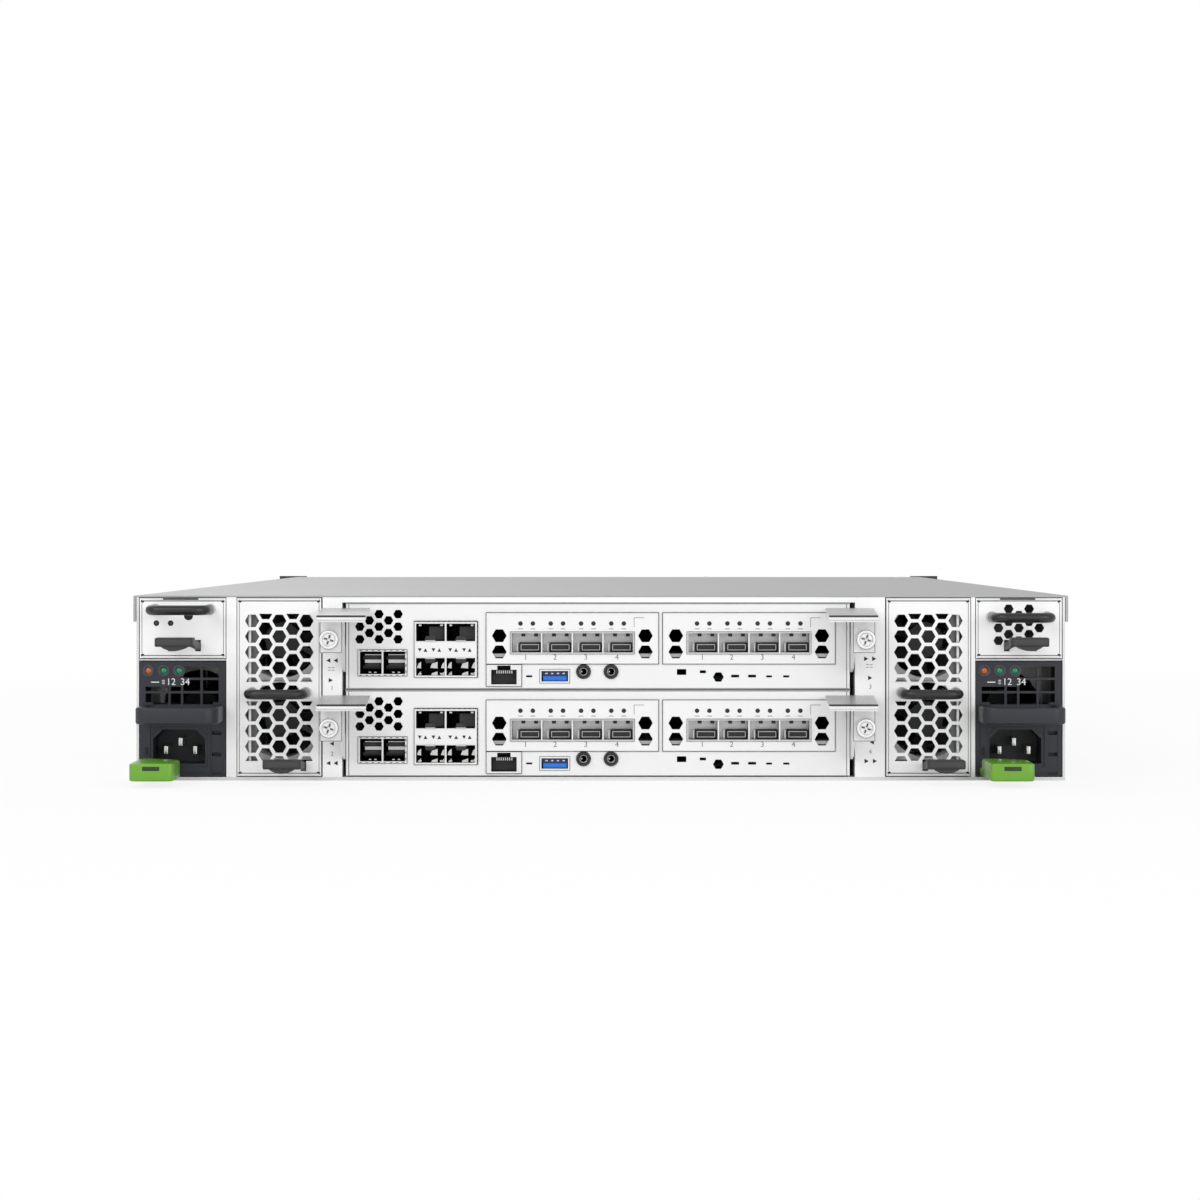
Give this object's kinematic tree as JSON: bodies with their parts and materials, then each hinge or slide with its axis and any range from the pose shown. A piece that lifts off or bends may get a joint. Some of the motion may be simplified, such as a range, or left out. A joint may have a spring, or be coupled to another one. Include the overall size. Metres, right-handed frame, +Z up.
{
  "type": "storage array",
  "caption": "Rack-mount storage enclosure with stacked controllers, fan modules, battery units and power supplies at the rear and drives at the front.",
  "frame": {"origin": "centre of the chassis underside, halfway between the rear panel and the rack ears' front", "axes": "+Z up, +X right when facing the rear panel, +Y from the rear panel towards the drives"},
  "size_m": [0.4826, 0.845, 0.0881],
  "materials": {
    "zinc_steel": "satin",
    "face_steel": "satin",
    "circuit_board": "matte",
    "black_steel": "satin",
    "dark_plastic": "matte",
    "grey_plastic": "matte",
    "port_metal": "satin",
    "bright_steel": "satin",
    "black_coating": "gloss",
    "black_plastic": "matte",
    "green_plastic": "satin"
  },
  "bodies": {
    "chassis": {"chassis_tray": "zinc_steel", "top_cover": "zinc_steel", "bay_frame": "zinc_steel", "midplane": "circuit_board", "drive_cage": "zinc_steel", "rack_ears": "black_steel", "drive_carriers": "dark_plastic", "drive_levers": "grey_plastic"},
    "controller_lower": {"controller_lower_housing": "face_steel", "controller_lower_board": "circuit_board", "controller_lower_ports": "port_metal", "controller_lower_sfp": "port_metal", "controller_lower_module_a": "port_metal", "controller_lower_module_b": "port_metal"},
    "controller_lower_lever_left": {"controller_lower_lever_left": "bright_steel"},
    "controller_lower_screw_left": {"controller_lower_screw_left": "bright_steel"},
    "controller_lower_lever_right": {"controller_lower_lever_right": "bright_steel"},
    "controller_lower_screw_right": {"controller_lower_screw_right": "bright_steel"},
    "controller_upper": {"controller_upper_housing": "face_steel", "controller_upper_board": "circuit_board", "controller_upper_ports": "port_metal", "controller_upper_sfp": "port_metal", "controller_upper_module_a": "port_metal", "controller_upper_module_b": "port_metal"},
    "controller_upper_lever_left": {"controller_upper_lever_left": "bright_steel"},
    "controller_upper_screw_left": {"controller_upper_screw_left": "bright_steel"},
    "controller_upper_lever_right": {"controller_upper_lever_right": "bright_steel"},
    "controller_upper_screw_right": {"controller_upper_screw_right": "bright_steel"},
    "fan_left": {"fan_left_housing": "face_steel", "fan_left_frames": "grey_plastic", "fan_left_handle": "black_coating"},
    "fan_left_latch": {"fan_left_latch": "grey_plastic"},
    "fan_left_rotor_lower": {"fan_left_rotor_lower": "black_plastic"},
    "fan_left_rotor_upper": {"fan_left_rotor_upper": "black_plastic"},
    "fan_right": {"fan_right_housing": "face_steel", "fan_right_frames": "grey_plastic", "fan_right_handle": "black_coating"},
    "fan_right_latch": {"fan_right_latch": "grey_plastic"},
    "fan_right_rotor_lower": {"fan_right_rotor_lower": "black_plastic"},
    "fan_right_rotor_upper": {"fan_right_rotor_upper": "black_plastic"},
    "battery_left": {"battery_left_case": "face_steel", "battery_left_handle": "black_coating"},
    "battery_left_latch": {"battery_left_latch": "grey_plastic"},
    "supply_left": {"supply_left_case": "zinc_steel", "supply_left_bezel": "dark_plastic", "supply_left_inlet": "black_plastic", "supply_left_handle": "dark_plastic"},
    "supply_left_latch": {"supply_left_latch": "green_plastic"},
    "supply_left_rotor": {"supply_left_rotor": "black_plastic"},
    "battery_right": {"battery_right_case": "face_steel", "battery_right_handle": "black_coating"},
    "battery_right_latch": {"battery_right_latch": "grey_plastic"},
    "supply_right": {"supply_right_case": "zinc_steel", "supply_right_bezel": "dark_plastic", "supply_right_inlet": "black_plastic", "supply_right_handle": "dark_plastic"},
    "supply_right_latch": {"supply_right_latch": "green_plastic"},
    "supply_right_rotor": {"supply_right_rotor": "black_plastic"},
    "drive_1": {"drive_1_carrier": "dark_plastic"},
    "drive_1_lever": {"drive_1_lever": "grey_plastic"}
  },
  "joints": [
    {"name": "controller_lower_slide", "type": "slide", "parent": "chassis", "child": "controller_lower", "axis": [0, -1, 0], "range_m": [0, 0.45]},
    {"name": "controller_lower_lever_left_swing", "type": "hinge", "parent": "controller_lower", "child": "controller_lower_lever_left", "pos_m": [-0.1215, -0.388, 0.0141], "axis": [1, 0, 0], "range_deg": [0, 30]},
    {"name": "controller_lower_screw_left_turn", "type": "hinge", "parent": "controller_lower_lever_left", "child": "controller_lower_screw_left", "pos_m": [-0.12745, -0.42, 0.0263], "axis": [0, 1, 0], "continuous": true},
    {"name": "controller_lower_lever_right_swing", "type": "hinge", "parent": "controller_lower", "child": "controller_lower_lever_right", "pos_m": [0.1187, -0.388, 0.0141], "axis": [1, 0, 0], "range_deg": [0, 30]},
    {"name": "controller_lower_screw_right_turn", "type": "hinge", "parent": "controller_lower_lever_right", "child": "controller_lower_screw_right", "pos_m": [0.12465, -0.42, 0.0263], "axis": [0, 1, 0], "continuous": true},
    {"name": "controller_upper_slide", "type": "slide", "parent": "chassis", "child": "controller_upper", "axis": [0, -1, 0], "range_m": [0, 0.45]},
    {"name": "controller_upper_lever_left_swing", "type": "hinge", "parent": "controller_upper", "child": "controller_upper_lever_left", "pos_m": [-0.1215, -0.388, 0.0557], "axis": [1, 0, 0], "range_deg": [0, 30]},
    {"name": "controller_upper_screw_left_turn", "type": "hinge", "parent": "controller_upper_lever_left", "child": "controller_upper_screw_left", "pos_m": [-0.12745, -0.42, 0.0679], "axis": [0, 1, 0], "continuous": true},
    {"name": "controller_upper_lever_right_swing", "type": "hinge", "parent": "controller_upper", "child": "controller_upper_lever_right", "pos_m": [0.1187, -0.388, 0.0557], "axis": [1, 0, 0], "range_deg": [0, 30]},
    {"name": "controller_upper_screw_right_turn", "type": "hinge", "parent": "controller_upper_lever_right", "child": "controller_upper_screw_right", "pos_m": [0.12465, -0.42, 0.0679], "axis": [0, 1, 0], "continuous": true},
    {"name": "fan_left_slide", "type": "slide", "parent": "chassis", "child": "fan_left", "axis": [0, -1, 0], "range_m": [0, 0.11]},
    {"name": "fan_left_latch_press", "type": "hinge", "parent": "fan_left", "child": "fan_left_latch", "pos_m": [-0.1534, -0.394, 0.0063], "axis": [-1, 0, 0], "range_deg": [0, 6], "stiffness_Nm_per_rad": 0.6},
    {"name": "fan_left_rotor_lower_spin", "type": "hinge", "parent": "fan_left", "child": "fan_left_rotor_lower", "pos_m": [-0.1534, -0.38, 0.0283], "axis": [0, 1, 0], "continuous": true},
    {"name": "fan_left_rotor_upper_spin", "type": "hinge", "parent": "fan_left", "child": "fan_left_rotor_upper", "pos_m": [-0.1534, -0.38, 0.0666], "axis": [0, 1, 0], "continuous": true},
    {"name": "fan_right_slide", "type": "slide", "parent": "chassis", "child": "fan_right", "axis": [0, -1, 0], "range_m": [0, 0.11]},
    {"name": "fan_right_latch_press", "type": "hinge", "parent": "fan_right", "child": "fan_right_latch", "pos_m": [0.1563, -0.394, 0.0063], "axis": [-1, 0, 0], "range_deg": [0, 6], "stiffness_Nm_per_rad": 0.6},
    {"name": "fan_right_rotor_lower_spin", "type": "hinge", "parent": "fan_right", "child": "fan_right_rotor_lower", "pos_m": [0.1563, -0.38, 0.0283], "axis": [0, 1, 0], "continuous": true},
    {"name": "fan_right_rotor_upper_spin", "type": "hinge", "parent": "fan_right", "child": "fan_right_rotor_upper", "pos_m": [0.1563, -0.38, 0.0666], "axis": [0, 1, 0], "continuous": true},
    {"name": "battery_left_slide", "type": "slide", "parent": "chassis", "child": "battery_left", "axis": [0, -1, 0], "range_m": [0, 0.3]},
    {"name": "battery_left_latch_press", "type": "hinge", "parent": "battery_left", "child": "battery_left_latch", "pos_m": [-0.19945, -0.394, 0.0634], "axis": [-1, 0, 0], "range_deg": [0, 6], "stiffness_Nm_per_rad": 0.6},
    {"name": "supply_left_slide", "type": "slide", "parent": "chassis", "child": "supply_left", "axis": [0, -1, 0], "range_m": [0, 0.33]},
    {"name": "supply_left_latch_press", "type": "hinge", "parent": "supply_left", "child": "supply_left_latch", "pos_m": [-0.21515, -0.392, 0.003], "axis": [0, 0, 1], "range_deg": [0, 5], "stiffness_Nm_per_rad": 1.2},
    {"name": "supply_left_rotor_spin", "type": "hinge", "parent": "supply_left", "child": "supply_left_rotor", "pos_m": [-0.19945, -0.338, 0.032], "axis": [0, 1, 0], "continuous": true},
    {"name": "battery_right_slide", "type": "slide", "parent": "chassis", "child": "battery_right", "axis": [0, -1, 0], "range_m": [0, 0.3]},
    {"name": "battery_right_latch_press", "type": "hinge", "parent": "battery_right", "child": "battery_right_latch", "pos_m": [0.19945, -0.394, 0.0634], "axis": [-1, 0, 0], "range_deg": [0, 6], "stiffness_Nm_per_rad": 0.6},
    {"name": "supply_right_slide", "type": "slide", "parent": "chassis", "child": "supply_right", "axis": [0, -1, 0], "range_m": [0, 0.33]},
    {"name": "supply_right_latch_press", "type": "hinge", "parent": "supply_right", "child": "supply_right_latch", "pos_m": [0.18375, -0.392, 0.003], "axis": [0, 0, 1], "range_deg": [0, 5], "stiffness_Nm_per_rad": 1.2},
    {"name": "supply_right_rotor_spin", "type": "hinge", "parent": "supply_right", "child": "supply_right_rotor", "pos_m": [0.19945, -0.338, 0.032], "axis": [0, 1, 0], "continuous": true},
    {"name": "drive_1_slide", "type": "slide", "parent": "chassis", "child": "drive_1", "axis": [0, 1, 0], "range_m": [0, 0.12]},
    {"name": "drive_1_lever_swing", "type": "hinge", "parent": "drive_1", "child": "drive_1_lever", "pos_m": [-0.2088, 0.39885, 0.01465], "axis": [-1, 0, 0], "range_deg": [0, 40]}
  ]
}
